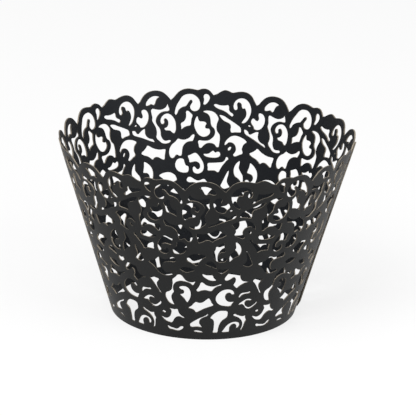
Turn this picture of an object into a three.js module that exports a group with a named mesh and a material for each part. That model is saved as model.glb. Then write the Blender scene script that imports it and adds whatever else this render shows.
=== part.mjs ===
// Cupcake wrapper: one band of thin card, cut through with scrollwork and scalloped along its top,
// rolled into an open cone whose two ends lap each other. Millimetres, +Z up, the bottom rim on z = 0.
import * as THREE from "three";

// Driving sizes
const TOP_DIAMETER = 80;
const BOTTOM_DIAMETER = 50;
const HEIGHT = 49.3;
const CARD = 0.35;

// The band: seven repeats of the pattern, a little more than once round
const REPEATS = 7;
const LAP = 6.8;
const LAP_GAP = 0.4;
const LAP_EASE = 25;
const FREE_END_ANGLE = -7;
const FREE_END_SPRING = 0.3;
const SPRING_REACH = 16;
const FREE_END_MARGIN = 2.5;
const TUCKED_END_BAND = 14;
const FREE_CORNER_RISE = 2.2;
const FREE_CORNER_RUN = 3.6;

// Fineness of the cut edges
const SAMPLES_PER_POINT = 5;
const EDGE_TOLERANCE = 0.35;
const RIM_STEP = 6;

// Points inside the plain end band: their spacing up the wall, their columns, and the place of the
// first column as a share of the columns' spacing
const BAND_GRID = 7;
const BAND_GRID_COLUMNS = 2;
const BAND_GRID_SHIFT = 0.8;

// How far past the band's ends the top edge is drawn before it is cut, and limits of the arithmetic
const END_REACH = 0.3;
const SAME_POINT = 0.01;
const MOST_PASSES = 200;
const ROUND_OFF = 1e-9;

// One repeat of the pattern is drawn flat: x runs along the band, y up the wall, both close to
// millimetres at the top rim. PATTERN_START is where the band's free end cuts through the pattern.
const CELL = 36;
const CELL_HEIGHT = 51.55;
const PATTERN_START = 8.15;

const topRadius = TOP_DIAMETER / 2;
const bottomRadius = BOTTOM_DIAMETER / 2;
const turnOfBand = 360 + LAP;
const degreesPerUnit = turnOfBand / (REPEATS * CELL);
const bandStart = PATTERN_START;
const bandEnd = PATTERN_START + REPEATS * CELL;

// The top edge of one repeat: three waves, each from one notch to the next
const TOP_WAVES = [
  [[0.9, 49.9], [1.5, 50.6], [2.3, 51.25], [3.3, 51.55], [4.4, 51.45], [5.4, 51.15], [6.8, 51.4],
    [8.15, 51.55], [9.6, 51.35], [10.8, 50.8], [11.8, 49.95], [12.7, 49.05], [13.4, 48.55]],
  [[13.4, 48.55], [13.9, 49.2], [14.7, 50.1], [15.8, 50.95], [17.2, 51.45], [18.9, 51.55],
    [20.4, 51.25], [21.6, 50.6], [22.6, 49.6], [23.3, 48.8], [23.9, 48.5]],
  [[23.9, 48.5], [24.6, 49.4], [25.5, 50.6], [26.8, 51.35], [28.3, 51.55], [29.9, 51.3],
    [31.4, 50.95], [32.5, 51.3], [33.6, 51.45], [34.7, 51.0], [35.8, 50.3], [36.9, 49.9]],
];

// The holes of one repeat, each a smooth closed curve through the points that give it its form
const HOLES = {
  leaf_slit: [[2.3, 49.9], [2.9, 50.15], [3.5, 50.0], [3.75, 49.4], [3.6, 48.6], [3.75, 47.8],
    [3.85, 47.35], [3.4, 47.2], [2.8, 47.6], [2.2, 48.4], [1.95, 49.2]],
  cane: [[12.1, 44.3], [12.45, 44.7], [12.2, 46.0], [11.6, 47.3], [10.8, 48.4], [10.2, 49.2],
    [9.3, 49.8], [8.2, 50.05], [7.0, 50.0], [6.0, 49.5], [5.2, 48.7], [4.8, 47.6], [4.85, 46.5],
    [5.3, 45.7], [6.1, 45.3], [7.0, 45.35], [7.6, 45.9], [7.75, 46.6], [7.4, 47.3], [7.05, 47.8],
    [7.1, 48.25], [7.5, 48.4], [8.0, 48.0], [8.5, 47.3], [9.0, 46.7], [9.9, 46.45], [10.6, 46.1],
    [11.3, 45.5], [11.7, 44.7]],
  left_frame: [[3.9, 45.3], [3.0, 45.6], [1.8, 45.6], [0.7, 45.3], [-0.2, 44.6], [-0.75, 43.5],
    [-0.3, 42.2], [-0.15, 41.0], [-0.4, 40.0], [-1.15, 39.1], [-1.3, 38.0], [-1.15, 36.6],
    [-0.9, 35.5], [-0.3, 35.5], [0.4, 36.2], [1.5, 36.5], [2.8, 36.35], [3.8, 35.7], [4.6, 35.0],
    [5.1, 35.1], [5.3, 35.9], [5.5, 36.8], [5.2, 37.15], [4.3, 37.1], [3.2, 37.1], [2.1, 37.3],
    [1.2, 37.9], [0.5, 38.6], [0.2, 39.6], [0.5, 40.6], [1.2, 41.2], [1.55, 41.9], [1.65, 42.9],
    [1.95, 44.0], [2.6, 44.7], [3.4, 45.0]],
  bean: [[5.7, 43.9], [6.2, 43.2], [6.55, 42.2], [6.6, 41.2], [6.2, 40.0], [5.5, 38.9], [4.6, 38.3],
    [3.6, 38.15], [2.6, 38.5], [1.95, 39.1], [1.8, 39.9], [2.1, 40.5], [2.8, 40.55], [3.3, 40.8],
    [3.2, 41.4], [2.9, 41.9], [3.3, 42.35], [4.1, 42.5], [4.9, 42.5], [5.3, 42.9]],
  kite: [[8.5, 45.4], [9.0, 45.2], [9.0, 44.2], [9.2, 43.2], [9.8, 42.4], [10.7, 41.9], [10.6, 40.9],
    [10.6, 40.2], [9.8, 40.7], [8.7, 41.1], [7.8, 41.3], [7.6, 42.0], [7.45, 43.0], [7.1, 44.1],
    [7.6, 44.7]],
  spiral: [[12.9, 39.2], [12.4, 40.0], [12.3, 41.2], [12.4, 42.4], [12.9, 43.5], [13.7, 44.4],
    [14.7, 44.85], [15.7, 44.7], [16.6, 44.1], [17.1, 43.2], [17.05, 42.5], [16.7, 42.05],
    [16.2, 42.05], [15.85, 42.5], [16.0, 43.05], [15.7, 43.5], [15.2, 43.45], [14.75, 42.9],
    [14.65, 42.1], [14.9, 41.4], [15.4, 41.0], [16.0, 40.8], [15.7, 40.25], [14.9, 40.1],
    [14.1, 39.95], [13.5, 39.4]],
  centre_frame: [[14.6, 47.5], [14.9, 46.9], [15.6, 46.4], [16.6, 46.1], [17.6, 46.15], [18.6, 46.4],
    [19.4, 46.6], [19.85, 46.2], [19.8, 45.2], [19.65, 44.2], [19.8, 43.3], [19.3, 42.3],
    [18.8, 41.3], [18.6, 40.2], [18.7, 39.3], [18.9, 38.7], [18.6, 38.0], [17.9, 37.4],
    [17.2, 36.8], [16.3, 36.5], [15.4, 36.5], [14.6, 36.7], [14.2, 37.1], [14.5, 37.4],
    [15.8, 37.3], [16.5, 37.5], [17.0, 38.1], [17.3, 39.0], [17.3, 40.0], [17.5, 40.8],
    [18.2, 41.8], [18.6, 42.8], [18.3, 43.9], [17.6, 44.7], [16.6, 45.3], [15.5, 45.5],
    [14.5, 45.5], [14.05, 45.8], [14.3, 46.7]],
  top_comma: [[17.0, 49.65], [17.8, 50.0], [18.8, 50.05], [19.9, 49.7], [20.7, 49.1], [21.3, 48.3],
    [21.25, 47.6], [20.4, 47.65], [19.6, 47.9], [18.8, 47.55], [18.4, 47.9], [18.1, 48.6],
    [17.7, 49.2]],
  clasp: [[22.4, 46.7], [22.95, 46.5], [23.05, 45.9], [22.8, 45.0], [23.1, 44.4], [23.7, 44.5],
    [24.3, 44.9], [24.8, 44.8], [25.2, 43.8], [24.9, 43.2], [24.3, 42.6], [24.0, 42.0],
    [23.4, 41.8], [22.6, 41.9], [21.7, 42.5], [21.1, 43.4], [20.8, 44.5], [20.9, 45.5],
    [21.5, 46.4]],
  barb: [[22.5, 41.3], [23.2, 41.2], [24.2, 40.7], [25.0, 40.25], [25.5, 40.35], [25.8, 40.9],
    [26.4, 41.3], [27.1, 41.35], [27.1, 40.7], [26.7, 40.1], [25.6, 39.6], [24.0, 39.0],
    [22.4, 38.3], [21.0, 37.7], [19.6, 37.25], [20.2, 38.1], [21.2, 38.4], [22.0, 38.9],
    [22.5, 39.8], [22.5, 40.6]],
  horn: [[28.1, 43.1], [27.3, 43.2], [26.5, 43.9], [25.9, 44.9], [25.5, 46.0], [25.4, 47.2],
    [25.8, 48.4], [26.6, 49.3], [27.7, 49.8], [28.9, 49.75], [30.0, 49.2], [30.7, 48.3],
    [30.9, 47.3], [30.6, 46.6], [30.1, 46.5], [29.7, 46.9], [29.7, 47.5], [29.85, 48.1],
    [29.6, 48.6], [29.0, 48.6], [28.5, 48.2], [28.35, 47.5], [28.0, 47.15], [27.55, 47.3],
    [27.15, 46.9], [26.85, 46.0], [26.95, 45.0], [27.5, 44.1]],
  under_leaf: [[32.5, 47.6], [33.2, 47.45], [34.2, 47.3], [35.2, 47.4], [36.2, 47.6], [36.6, 47.3],
    [36.2, 46.95], [35.4, 46.7], [34.0, 46.3], [32.8, 45.7], [31.8, 45.0], [31.2, 44.75],
    [30.8, 45.1], [31.1, 45.5], [31.8, 45.8], [32.2, 46.4], [32.2, 47.1]],
  blade: [[34.2, 44.3], [33.2, 44.1], [32.0, 43.5], [30.6, 42.8], [29.2, 42.2], [28.4, 41.6],
    [28.0, 40.9], [27.8, 40.2], [28.8, 40.25], [30.0, 40.25], [31.2, 40.1], [31.4, 40.7],
    [31.2, 41.6], [31.3, 42.4], [31.8, 42.9], [32.8, 43.1], [33.6, 43.5]],
  right_curl: [[26.0, 38.0], [26.8, 38.6], [28.2, 39.1], [29.8, 39.3], [31.2, 38.9], [32.2, 38.1],
    [33.0, 37.0], [33.1, 36.25], [32.5, 36.6], [31.9, 37.1], [31.1, 37.2], [30.2, 36.9],
    [29.6, 36.2], [29.4, 35.4], [29.6, 34.6], [30.2, 33.8], [29.9, 33.4], [29.2, 33.5],
    [28.2, 34.0], [27.3, 34.4], [27.1, 34.9], [27.4, 35.6], [27.3, 36.4], [26.9, 37.2]],
  wing: [[22.3, 36.6], [22.8, 36.1], [23.6, 35.5], [24.8, 34.95], [23.8, 34.4], [22.6, 34.1],
    [21.6, 33.5], [20.8, 32.9], [20.3, 33.2], [19.6, 33.4], [18.8, 33.3], [18.0, 32.8],
    [17.2, 32.3], [16.7, 32.3], [16.5, 33.2], [16.2, 34.2], [16.15, 34.9], [16.9, 35.0],
    [18.2, 35.0], [19.5, 35.3], [20.8, 35.8]],
  tall_wave: [[6.8, 38.8], [7.4, 38.6], [7.9, 38.1], [8.7, 37.6], [9.8, 37.3], [10.9, 37.4],
    [11.8, 37.65], [12.2, 37.4], [12.8, 36.8], [13.8, 36.2], [14.6, 35.3], [15.0, 34.2],
    [14.9, 33.2], [14.5, 32.5], [13.9, 32.25], [13.3, 32.5], [12.7, 33.1], [12.2, 33.1],
    [11.6, 32.8], [11.0, 32.85], [10.75, 33.5], [10.6, 34.5], [10.3, 35.4], [9.7, 36.1],
    [8.9, 36.6], [8.0, 36.8], [7.2, 36.9], [6.9, 37.5], [6.6, 38.3]],
  moustache: [[-1.6, 33.6], [-1.2, 34.2], [-0.6, 34.2], [0.0, 33.95], [0.7, 34.4], [1.3, 34.1],
    [2.0, 33.6], [2.9, 33.4], [3.8, 33.35], [3.4, 32.8], [2.4, 32.5], [1.0, 32.4], [-0.4, 32.5],
    [-1.3, 32.9]],
  pennant: [[-4.3, 32.5], [-3.8, 33.0], [-3.45, 32.7], [-3.2, 32.1], [-2.7, 31.6], [-2.0, 31.35],
    [-1.0, 31.2], [0.2, 31.05], [1.5, 30.95], [2.35, 30.8], [2.5, 30.2], [2.35, 29.5],
    [2.4, 28.8], [1.2, 28.8], [0.1, 28.8], [-0.6, 28.5], [-1.1, 28.4], [-1.5, 29.0], [-2.1, 30.0],
    [-2.9, 31.0], [-3.6, 31.8]],
  arch: [[24.2, 32.2], [23.4, 31.9], [22.3, 31.1], [21.5, 30.1], [21.2, 28.9], [21.4, 27.6],
    [22.0, 26.5], [23.1, 25.9], [24.3, 25.8], [25.2, 26.1], [25.5, 26.8], [25.1, 27.3],
    [24.4, 27.3], [23.8, 26.9], [23.2, 27.0], [22.8, 27.5], [22.8, 28.3], [23.3, 28.9],
    [24.1, 29.1], [24.95, 29.3], [24.8, 30.0], [24.5, 30.8], [24.35, 31.6]],
  arch_foot: [[27.8, 32.3], [28.6, 31.8], [29.3, 30.9], [29.7, 29.8], [29.6, 28.6], [29.1, 27.8],
    [28.3, 27.4], [27.6, 27.0], [27.0, 26.4], [26.5, 25.95], [26.25, 26.6], [26.3, 27.6],
    [26.5, 28.4], [27.0, 29.0], [27.6, 29.7], [28.0, 30.5], [27.85, 31.4]],
  funnel: [[31.4, 29.2], [31.9, 28.6], [32.5, 27.5], [33.0, 26.5], [33.6, 25.4], [33.95, 24.6],
    [33.4, 24.1], [32.6, 23.9], [31.6, 24.2], [30.8, 24.6], [31.4, 25.3], [31.8, 26.0],
    [31.8, 26.9], [31.5, 27.8]],
  scroll: [[6.4, 33.6], [5.7, 33.2], [4.8, 32.2], [4.0, 31.0], [3.7, 29.8], [4.0, 28.6], [4.9, 27.9],
    [5.9, 27.7], [6.9, 28.0], [7.35, 28.8], [7.2, 29.6], [6.7, 29.7], [6.0, 29.05], [5.3, 29.1],
    [4.9, 29.7], [5.0, 30.4], [5.6, 30.95], [6.5, 31.15], [7.4, 31.0], [8.3, 30.9], [8.5, 31.8],
    [8.85, 32.7], [7.9, 33.1], [7.0, 33.5]],
  drum: [[10.3, 31.8], [11.3, 32.1], [12.3, 31.9], [13.0, 31.1], [13.2, 30.2], [12.9, 29.3],
    [12.1, 28.5], [11.0, 28.1], [9.9, 28.0], [9.0, 28.2], [8.7, 28.9], [8.85, 29.8], [9.6, 30.1],
    [10.0, 30.8]],
  sail: [[14.7, 30.5], [15.3, 30.0], [16.3, 29.5], [17.5, 29.2], [18.7, 29.2], [19.3, 28.95],
    [18.6, 28.3], [18.0, 27.6], [17.3, 26.9], [16.3, 26.6], [15.2, 26.3], [14.3, 26.5],
    [13.5, 27.0], [14.1, 27.8], [14.6, 28.4], [14.7, 29.3]],
  ribbon: [[-0.2, 24.2], [0.4, 23.7], [1.6, 23.9], [3.0, 24.5], [4.6, 25.0], [5.8, 25.3],
    [7.4, 25.4], [8.8, 25.3], [9.5, 25.9], [9.2, 26.6], [8.3, 26.85], [7.1, 26.3], [6.2, 25.9],
    [5.2, 25.85], [4.3, 26.2], [3.5, 26.3], [2.8, 25.7], [1.8, 25.0], [0.6, 24.8]],
  petal: [[2.6, 21.6], [3.2, 20.8], [4.6, 20.5], [6.4, 20.9], [7.8, 21.8], [7.0, 22.6], [5.8, 23.3],
    [4.2, 23.2], [3.0, 22.6]],
  brow: [[10.5, 23.2], [11.4, 22.6], [12.5, 22.2], [13.8, 22.4], [15.4, 23.1], [14.4, 23.7],
    [13.0, 24.0], [11.4, 23.8]],
  fin: [[17.9, 21.9], [19.3, 21.6], [20.3, 21.6], [21.3, 21.5], [21.6, 20.8], [22.5, 19.85],
    [21.5, 19.7], [20.3, 19.9], [19.1, 20.5], [18.3, 21.1]],
  small_funnel: [[-0.8, 18.9], [-0.4, 19.4], [0.4, 19.6], [1.3, 19.4], [2.7, 19.0], [2.2, 18.3],
    [1.7, 17.7], [1.65, 17.0], [2.0, 16.0], [2.6, 15.1], [3.1, 14.4], [2.5, 14.6], [1.9, 15.5],
    [1.3, 16.3], [0.6, 17.3], [-0.1, 18.2]],
  bridge: [[15.5, 19.3], [14.7, 19.1], [13.7, 19.1], [12.9, 19.3], [12.2, 19.7], [11.6, 20.4],
    [11.0, 21.1], [10.3, 21.35], [9.6, 21.2], [8.9, 20.5], [8.1, 19.9], [7.6, 19.4], [7.6, 18.4],
    [7.3, 17.0], [7.0, 16.1], [6.2, 15.5], [5.2, 15.1], [4.6, 14.5], [4.5, 13.6], [4.8, 12.7],
    [5.6, 11.7], [6.7, 11.2], [7.5, 11.2], [7.2, 11.9], [6.8, 12.8], [6.7, 13.8], [7.1, 14.7],
    [7.8, 15.5], [7.6, 16.3], [7.7, 17.3], [8.1, 18.1], [9.0, 18.8], [10.3, 19.2], [11.5, 19.2],
    [12.7, 19.0], [13.7, 18.7], [14.7, 18.1], [15.2, 18.7]],
  comma: [[9.8, 17.0], [10.3, 17.4], [11.2, 17.6], [12.4, 17.5], [13.3, 16.9], [13.8, 15.8],
    [13.8, 14.7], [13.4, 13.5], [12.8, 12.6], [12.4, 12.25], [12.0, 12.7], [11.5, 13.4],
    [10.7, 14.1], [10.0, 14.75], [10.8, 15.0], [11.4, 15.3], [11.5, 15.9], [11.1, 16.3],
    [10.4, 16.45]],
  tooth: [[17.8, 19.2], [18.3, 19.0], [19.1, 18.4], [20.3, 18.0], [21.7, 17.9], [22.9, 18.2],
    [24.3, 18.6], [24.3, 18.2], [23.5, 18.0], [22.5, 17.6], [21.7, 16.9], [21.1, 16.3],
    [20.3, 16.35], [18.9, 16.6], [17.5, 16.4], [16.4, 16.05], [15.9, 16.5], [16.6, 17.4],
    [17.1, 18.3], [17.4, 19.0]],
  anvil: [[26.6, 22.1], [27.4, 22.2], [28.4, 22.0], [29.6, 21.85], [30.3, 21.6], [30.5, 20.8],
    [30.8, 20.0], [31.5, 19.3], [32.7, 19.0], [33.7, 18.7], [32.5, 18.6], [31.5, 18.2],
    [30.5, 17.6], [29.8, 17.05], [29.3, 17.4], [28.5, 18.3], [28.9, 19.0], [29.1, 19.8],
    [28.8, 20.6], [28.2, 20.7], [27.6, 20.3], [26.9, 19.9], [26.1, 19.7], [25.5, 19.9],
    [25.4, 20.6], [25.9, 21.4]],
  ring: [[29.15, 15.1], [28.7, 16.0], [27.8, 16.6], [26.2, 16.8], [24.7, 16.4], [23.5, 15.5],
    [22.8, 14.4], [22.8, 13.3], [23.5, 12.2], [24.7, 11.5], [26.2, 11.2], [27.6, 11.05],
    [28.4, 11.2], [28.8, 11.8], [29.3, 12.5], [28.2, 12.5], [27.2, 12.7], [26.3, 13.4],
    [26.0, 14.3], [26.3, 15.2], [27.0, 15.6], [27.8, 15.5], [28.4, 15.0]],
  splint: [[30.9, 13.8], [31.1, 14.6], [31.7, 15.2], [32.7, 15.3], [34.0, 15.35], [34.7, 15.5],
    [35.0, 15.2], [34.6, 14.9], [33.7, 14.85], [32.7, 14.75], [31.9, 14.4], [31.3, 13.8]],
  loop: [[-4.9, 11.4], [-4.3, 11.9], [-3.3, 12.5], [-2.3, 12.95], [-1.3, 13.0], [-0.4, 12.75],
    [0.0, 12.4], [-0.6, 12.35], [-1.4, 12.5], [-2.1, 12.4], [-2.5, 11.9], [-2.4, 11.2],
    [-1.8, 10.5], [-1.0, 10.15], [-0.2, 10.15], [0.7, 10.5], [1.6, 11.1], [2.3, 11.7],
    [2.4, 11.1], [1.6, 10.4], [0.6, 9.8], [-0.3, 9.55], [-1.2, 9.7], [-2.0, 10.2], [-2.7, 11.0],
    [-3.4, 11.4], [-4.2, 11.3]],
  butterfly: [[20.2, 13.9], [20.7, 13.5], [21.3, 12.4], [22.0, 11.6], [20.5, 11.0], [18.9, 10.5],
    [17.3, 9.8], [16.0, 9.2], [15.5, 9.2], [15.0, 9.8], [14.1, 10.2], [12.8, 10.5], [14.1, 11.3],
    [15.0, 12.2], [15.7, 12.6], [16.6, 12.4], [17.5, 12.4], [18.4, 12.7], [19.2, 13.3]],
  low_wave: [[5.5, 9.8], [6.3, 9.7], [7.5, 9.6], [8.6, 9.75], [8.8, 9.2], [9.1, 8.5], [9.9, 7.7],
    [11.3, 7.0], [10.3, 6.95], [9.2, 7.3], [8.0, 7.1], [7.1, 6.5], [6.4, 5.6], [5.8, 5.0],
    [4.9, 5.0], [3.5, 5.3], [2.3, 6.0], [1.5, 6.8], [2.3, 6.6], [3.3, 6.3], [4.5, 6.5],
    [5.4, 7.1], [5.9, 8.0], [6.1, 8.9]],
  bird: [[-6.2, 8.2], [-5.6, 8.3], [-5.0, 8.0], [-3.9, 7.6], [-2.8, 7.3], [-2.0, 7.3], [-1.3, 7.45],
    [-1.3, 6.8], [-1.05, 6.2], [-0.75, 5.8], [-1.1, 5.1], [-1.3, 4.3], [-1.6, 3.3], [-2.0, 2.6],
    [-2.6, 2.5], [-2.3, 3.2], [-2.05, 4.3], [-2.3, 5.3], [-2.9, 6.1], [-3.8, 6.8], [-4.9, 7.3],
    [-5.9, 7.7]],
  smile: [[3.8, 3.6], [4.2, 3.8], [5.1, 3.5], [6.3, 3.3], [7.5, 3.1], [8.3, 3.3], [9.0, 3.8],
    [9.7, 4.1], [10.4, 4.0], [10.2, 3.4], [9.4, 2.9], [8.4, 2.5], [7.1, 2.5], [5.7, 2.7],
    [4.5, 2.8]],
  sprig: [[20.2, 8.7], [19.4, 8.2], [18.3, 7.7], [16.9, 7.2], [15.3, 6.4], [13.7, 5.5], [13.2, 5.0],
    [13.3, 4.3], [14.0, 4.1], [14.9, 4.2], [16.1, 4.3], [17.1, 4.2], [17.9, 4.2], [17.3, 4.8],
    [16.8, 5.5], [16.9, 6.4], [17.7, 7.1], [18.9, 7.6], [19.9, 8.0]],
  goblet: [[25.7, 9.65], [26.9, 9.5], [27.5, 9.1], [27.6, 8.4], [27.5, 7.6], [26.9, 7.0],
    [26.0, 6.5], [25.1, 5.6], [24.6, 4.6], [24.3, 3.4], [24.15, 2.35], [23.2, 2.3], [22.3, 2.35],
    [22.5, 3.2], [22.6, 4.6], [22.6, 5.6], [22.4, 6.4], [21.8, 6.9], [21.1, 7.25], [21.9, 8.3],
    [23.0, 9.1], [24.2, 9.6]],
  low_arch: [[25.95, 2.4], [26.6, 3.3], [27.5, 4.4], [28.7, 5.2], [30.1, 5.6], [31.5, 5.5],
    [32.5, 5.0], [32.8, 4.2], [32.3, 3.5], [31.6, 3.5], [31.6, 4.2], [31.1, 4.8], [30.3, 4.9],
    [29.5, 4.6], [28.9, 3.9], [28.85, 3.0], [28.9, 2.4], [28.1, 2.3], [26.9, 2.3]],
};

// A smooth closed curve through the given points, as closely spaced flat points
function smoothLoop(points) {
  const curve = new THREE.CatmullRomCurve3(points.map(([x, y]) => new THREE.Vector3(x, y, 0)), true);
  const samples = curve.getPoints(points.length * SAMPLES_PER_POINT).slice(0, -1);
  return samples.map((p) => new THREE.Vector2(p.x, p.y));
}

// A smooth open curve through the given points
function smoothWave(points) {
  const curve = new THREE.CatmullRomCurve3(points.map(([x, y]) => new THREE.Vector3(x, y, 0)));
  return curve.getPoints((points.length - 1) * SAMPLES_PER_POINT).map((p) => new THREE.Vector2(p.x, p.y));
}

// How far a point lies from the line between two others
function offLine(p, a, b) {
  const along = b.clone().sub(a);
  const reach = along.length();
  if (reach === 0) return p.distanceTo(a);
  return Math.abs(along.cross(p.clone().sub(a))) / reach;
}

// Keeps only the points of an open run that its shape needs at the edge tolerance
function thinRun(points) {
  let widest = 0;
  let at = 0;
  for (let i = 1; i < points.length - 1; i++) {
    const distance = offLine(points[i], points[0], points.at(-1));
    if (distance > widest) {
      widest = distance;
      at = i;
    }
  }
  if (widest <= EDGE_TOLERANCE) return [points[0], points.at(-1)];
  return [...thinRun(points.slice(0, at + 1)).slice(0, -1), ...thinRun(points.slice(at))];
}

// The same for a closed loop, split at two points that are far apart
function thinLoop(points) {
  const startAt = points.reduce((best, p, i) => (p.x < points[best].x ? i : best), 0);
  const turned = [...points.slice(startAt), ...points.slice(0, startAt)];
  const farAt = turned.reduce((best, p, i) => (
    p.distanceTo(turned[0]) > turned[best].distanceTo(turned[0]) ? i : best), 0);
  const there = thinRun(turned.slice(0, farAt + 1));
  const back = thinRun([...turned.slice(farAt), turned[0]]);
  return [...there.slice(0, -1), ...back.slice(0, -1)];
}

// The parts of a loop on the kept side of an upright line. Where the line cuts the loop, neighbouring
// crossings are joined along it, so a hole that bends back over the line becomes two holes.
function clipLoop(loop, lineX, keepRight) {
  const inside = (p) => (keepRight ? p.x > lineX : p.x < lineX);
  if (loop.every(inside)) return [loop];
  const runs = [];
  const firstOut = loop.findIndex((p) => !inside(p));
  let run = null;
  for (let i = 1; i <= loop.length; i++) {
    const before = loop[(firstOut + i - 1) % loop.length];
    const here = loop[(firstOut + i) % loop.length];
    if (inside(before) !== inside(here)) {
      const share = (lineX - before.x) / (here.x - before.x);
      const crossing = before.clone().lerp(here, share);
      if (inside(here)) run = [crossing];
      else runs.push([...run, crossing]);
    }
    if (inside(here)) run.push(here);
  }
  return joinRuns(runs);
}

// Joins runs that start and end on one upright line into closed loops
function joinRuns(runs) {
  const ends = runs.flatMap((run, i) => [{ run: i, y: run[0].y }, { run: i, y: run.at(-1).y, last: true }]);
  ends.sort((a, b) => a.y - b.y);
  const partner = (end) => ends[ends.indexOf(end) ^ 1];
  const used = new Set();
  const loops = [];
  for (const first of ends.filter((end) => !end.last)) {
    const loop = [];
    let start = first;
    while (!used.has(start.run)) {
      used.add(start.run);
      loop.push(...runs[start.run]);
      const index = start.run;
      start = partner(ends.find((end) => end.run === index && end.last));
    }
    if (loop.length) loops.push(loop);
  }
  return loops;
}

const unitsFor = (degrees) => degrees / degreesPerUnit;

// Every hole of the band, kept clear of its two ends
function bandHoles() {
  const firstX = bandStart + unitsFor(FREE_END_MARGIN);
  const lastX = bandEnd - unitsFor(TUCKED_END_BAND);
  const holes = [];
  for (let cell = 0; cell <= REPEATS; cell++) {
    for (const points of Object.values(HOLES)) {
      const loop = smoothLoop(points.map(([x, y]) => [x + cell * CELL, y]));
      const kept = clipLoop(loop, firstX, true).flatMap((part) => clipLoop(part, lastX, false));
      holes.push(...kept.map(thinLoop).filter((part) => part.length > 2));
    }
  }
  return holes;
}

// The top edge from the free end to the tucked end
function topEdge() {
  const edge = [];
  for (let cell = 0; cell <= REPEATS; cell++) {
    for (const wave of TOP_WAVES) {
      const points = smoothWave(wave.map(([x, y]) => [x + cell * CELL, y]));
      const inBand = points.filter((p) => p.x > bandStart - END_REACH && p.x < bandEnd + END_REACH);
      if (inBand.length > 1) edge.push(...thinRun(inBand));
    }
  }
  const own = edge.filter((p, i) => i === 0 || p.distanceTo(edge[i - 1]) > SAME_POINT);
  own[0].x = bandStart;
  own.at(-1).x = bandEnd;
  return own;
}

// The flat outline of the band: bottom edge, tucked end, top edge, free end with its clipped corner
function bandOutline() {
  const start = bandStart + unitsFor(FREE_CORNER_RUN);
  const steps = Math.round((bandEnd - start) / unitsFor(RIM_STEP));
  const bottom = [];
  for (let i = 0; i <= steps; i++) {
    bottom.push(new THREE.Vector2(THREE.MathUtils.lerp(start, bandEnd, i / steps), 0));
  }
  const corner = new THREE.Vector2(bandStart, FREE_CORNER_RISE);
  return [...bottom, ...topEdge().reverse(), corner];
}

// Points inside the plain end band, so that its triangles bend with the cone
function bandGrid() {
  const width = unitsFor(TUCKED_END_BAND);
  const rows = Math.round(CELL_HEIGHT / BAND_GRID);
  const points = [];
  for (let column = 0; column < BAND_GRID_COLUMNS; column++) {
    for (let row = 1; row < rows; row++) {
      const x = bandEnd - width * (column + BAND_GRID_SHIFT) / BAND_GRID_COLUMNS;
      points.push(new THREE.Vector2(x, CELL_HEIGHT * row / rows));
    }
  }
  return points;
}

const edgeKey = (a, b) => (a < b ? `${a}_${b}` : `${b}_${a}`);

const turnOf = (a, b, c) => (b.x - a.x) * (c.y - a.y) - (b.y - a.y) * (c.x - a.x);

// True where d lies inside the circle through a, b and c
function inCircle(a, b, c, d) {
  const rows = [a, b, c].map((p) => [p.x - d.x, p.y - d.y, (p.x - d.x) ** 2 + (p.y - d.y) ** 2]);
  const [p, q, r] = rows;
  const value = p[0] * (q[1] * r[2] - r[1] * q[2]) - q[0] * (p[1] * r[2] - r[1] * p[2])
    + r[0] * (p[1] * q[2] - q[1] * p[2]);
  return value > ROUND_OFF;
}

// Adds a point inside the triangle that holds it
function insertPoint(points, triangles, point) {
  const index = points.push(point) - 1;
  const at = triangles.findIndex(([a, b, c]) => (
    turnOf(points[a], points[b], point) > 0
    && turnOf(points[b], points[c], point) > 0
    && turnOf(points[c], points[a], point) > 0));
  const [a, b, c] = triangles[at];
  triangles.splice(at, 1, [a, b, index], [b, c, index], [c, a, index]);
}

// Swaps the diagonals of neighbouring triangles until none is long and thin without need
function relaxTriangles(points, triangles, fixedEdges) {
  let swapped = true;
  for (let pass = 0; swapped && pass < MOST_PASSES; pass++) {
    swapped = false;
    const sides = new Map();
    triangles.forEach((corners, index) => corners.forEach((a, k) => {
      const key = edgeKey(a, corners[(k + 1) % 3]);
      sides.set(key, [...(sides.get(key) ?? []), index]);
    }));
    const touched = new Set();
    for (const [key, [one, two]] of sides) {
      if (two === undefined || fixedEdges.has(key) || touched.has(one) || touched.has(two)) continue;
      const [a, b] = key.split("_").map(Number);
      const c = triangles[one].find((i) => i !== a && i !== b);
      const d = triangles[two].find((i) => i !== a && i !== b);
      const [from, to] = turnOf(points[a], points[b], points[c]) > 0 ? [a, b] : [b, a];
      if (!inCircle(points[from], points[to], points[c], points[d])) continue;
      const fromSide = turnOf(points[d], points[c], points[from]);
      const toSide = turnOf(points[d], points[c], points[to]);
      if (fromSide * toSide >= 0) continue;
      triangles[one] = [c, from, d];
      triangles[two] = [d, to, c];
      touched.add(one).add(two);
      swapped = true;
    }
  }
}

// How far the card stands off the cone, to lie over its own tucked end and spring open at the tip
function standOff(degreesFromFreeEnd) {
  const over = 1 - THREE.MathUtils.smoothstep(degreesFromFreeEnd, LAP, LAP + LAP_EASE);
  const open = Math.max(0, 1 - degreesFromFreeEnd / SPRING_REACH) ** 2;
  return (CARD + LAP_GAP) * over + FREE_END_SPRING * open;
}

// Rolls a flat point on to one face of the cone's wall
function rollPoint(point, faceOffset) {
  const fromFreeEnd = (point.x - bandStart) * degreesPerUnit;
  const angle = THREE.MathUtils.degToRad(FREE_END_ANGLE + fromFreeEnd);
  const rise = point.y / CELL_HEIGHT;
  const radius = THREE.MathUtils.lerp(bottomRadius, topRadius, rise) + standOff(fromFreeEnd) + faceOffset;
  return [radius * Math.cos(angle), radius * Math.sin(angle), HEIGHT * rise];
}

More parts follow.
